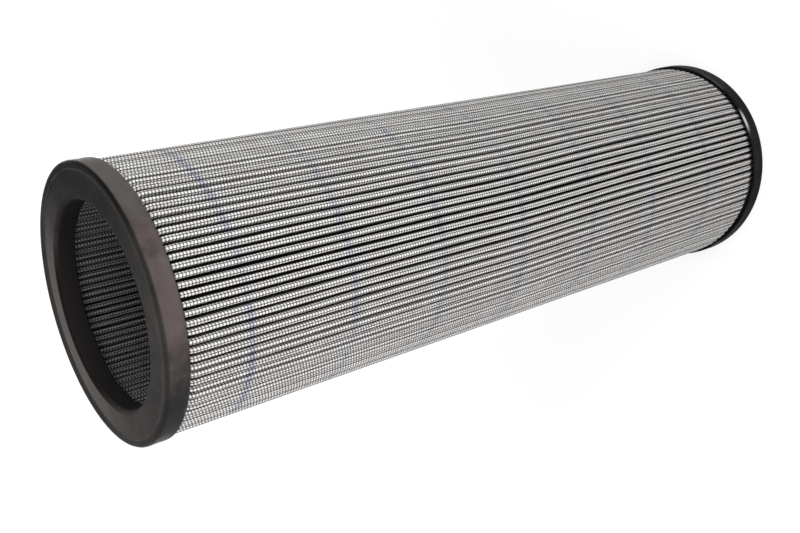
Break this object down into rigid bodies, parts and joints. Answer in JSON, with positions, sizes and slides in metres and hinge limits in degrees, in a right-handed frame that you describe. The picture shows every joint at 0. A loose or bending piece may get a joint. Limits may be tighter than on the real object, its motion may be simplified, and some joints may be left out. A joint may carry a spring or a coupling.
{
  "type": "hydraulic filter element",
  "caption": "Cylindrical pleated hydraulic filter element, open at both ends, with a wire-mesh-backed pack between two black pressed end caps.",
  "frame": {"origin": "centre of the lower end cap's face, on the plane that the element stands on", "axes": "+Z along the element to the other end cap; +X and +Y across it, with +X up in the picture"},
  "size_m": [0.12, 0.12, 0.392],
  "materials": {
    "cap_paint": "satin black",
    "outer_wire": "coated wire",
    "glass_fibre": "soft white",
    "inner_wire": "coated wire",
    "potting": "cured adhesive",
    "seam_adhesive": "cured adhesive"
  },
  "bodies": {
    "root": {"top_end_cap": "cap_paint", "bottom_end_cap": "cap_paint", "outer_support_mesh": "outer_wire", "filter_media": "glass_fibre", "inner_support_mesh": "inner_wire", "top_potting": "potting", "bottom_potting": "potting", "side_seam": "seam_adhesive"}
  },
  "joints": []
}
